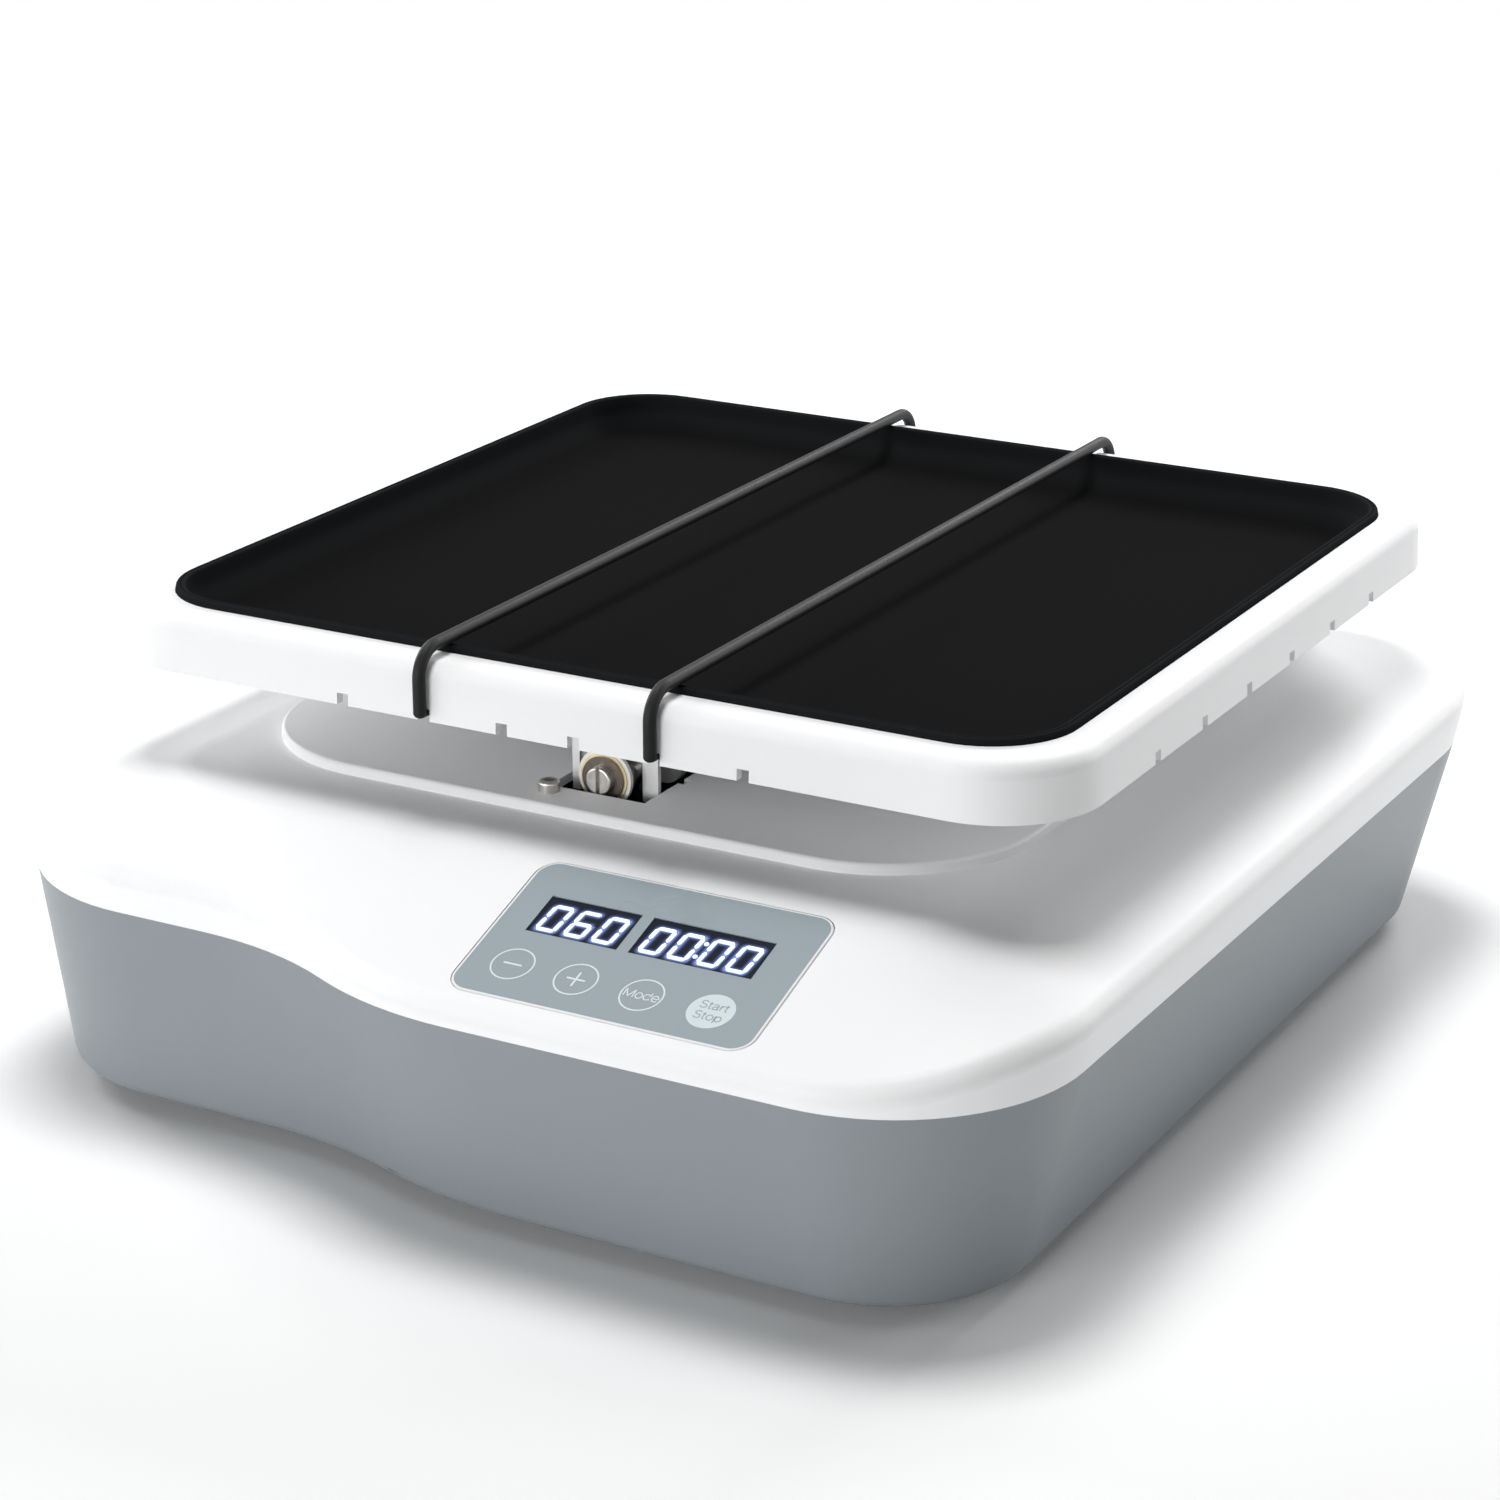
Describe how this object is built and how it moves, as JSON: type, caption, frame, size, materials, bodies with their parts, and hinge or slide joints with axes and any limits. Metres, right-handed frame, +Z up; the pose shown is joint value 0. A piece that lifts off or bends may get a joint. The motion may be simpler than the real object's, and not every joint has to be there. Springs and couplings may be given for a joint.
{
  "type": "rocking laboratory shaker",
  "caption": "Bench-top rocking shaker for staining and destaining gels: a tilting tray platform with a rubber mat and hold-down cords on a motor-driven base with a sloped control panel.",
  "frame": {"origin": "on the bench under the middle of the base's bounding box", "axes": "+Z up, -Y towards the control panel, +X to the right as seen from the panel; the platform rocks about a line along Y"},
  "size_m": [0.3744, 0.4227, 0.1548],
  "materials": {
    "housing_grey": "fine satin texture",
    "cover_white": "satin",
    "platform_white": "satin",
    "bracket_white": "semi-gloss powder coat",
    "black_rubber": "matt",
    "cord_rubber": "matt",
    "foot_rubber": "matt",
    "panel_film": "glossy",
    "display_black": "glossy",
    "lit_segment": "glowing",
    "bright_steel": "zinc plated",
    "dark_post": "black oxide",
    "bronze": "sintered",
    "brass": "plain",
    "nylon": "satin",
    "ground_steel": "ground",
    "cast_aluminium": "as cast",
    "motor_steel": "plated",
    "chassis_steel": "galvanised",
    "acetal": "plain",
    "circuit_board": "solder mask",
    "connector_black": "satin",
    "pin_metal": "nickel plated",
    "lead_sheath": "matt"
  },
  "bodies": {
    "base": {"board_screws": "bright_steel", "case_screws": "bright_steel", "chassis_plate": "chassis_steel", "chassis_screws": "bright_steel", "control_board": "circuit_board", "control_panel": "panel_film", "gearbox": "cast_aluminium", "guide_post": "bright_steel", "inlet_pins": "pin_metal", "inlet_screws": "bright_steel", "lower_housing": "housing_grey", "mains_lead": "lead_sheath", "motor": "motor_steel", "motor_bracket": "chassis_steel", "motor_lead": "lead_sheath", "motor_screws": "bright_steel", "panel_lead": "lead_sheath", "pivot_bush_front": "bronze", "pivot_bush_rear": "bronze", "pivot_post_front": "dark_post", "pivot_post_rear": "dark_post", "post_screws": "bright_steel", "power_inlet": "connector_black", "power_supply_board": "circuit_board", "rubber_feet": "foot_rubber", "speed_digits": "lit_segment", "speed_display": "display_black", "supply_standoffs": "bright_steel", "switch_frame": "connector_black", "timer_digits": "lit_segment", "timer_display": "display_black", "upper_cover": "cover_white"},
    "rocking_platform": {"platform": "platform_white", "tray_mat": "black_rubber", "platform_bracket": "bracket_white", "bracket_screws": "bright_steel", "pivot_shaft": "ground_steel", "shaft_end_screws": "bright_steel", "nylon_washers": "nylon", "brass_washers": "brass", "steel_washers": "bright_steel", "drive_fork": "cast_aluminium", "fork_set_screw": "ground_steel", "hold_down_cord_left": "cord_rubber", "hold_down_cord_right": "cord_rubber", "cord_stops": "cord_rubber"},
    "crank": {"output_shaft": "ground_steel", "crank_disc": "cast_aluminium", "crank_pin": "ground_steel", "crank_roller": "acetal", "roller_clip": "ground_steel"},
    "rocker": {"switch_rocker": "connector_black"}
  },
  "joints": [
    {"name": "platform_rock", "type": "hinge", "parent": "base", "child": "rocking_platform", "pos_m": [0, 0.024, 0.1072], "axis": [0, 1, 0], "range_deg": [-7, 7]},
    {"name": "crank_turn", "type": "hinge", "parent": "base", "child": "crank", "pos_m": [0, 0.012, 0.05], "axis": [0, 1, 0], "range_deg": [-90, 90]},
    {"name": "power_switch", "type": "hinge", "parent": "base", "child": "rocker", "pos_m": [-0.03, 0.192, 0.041], "axis": [1, 0, 0], "range_deg": [0, 16]}
  ],
  "couplings": [
    {"joint": "crank_turn", "follows": "platform_rock", "ratio": 12.857}
  ]
}
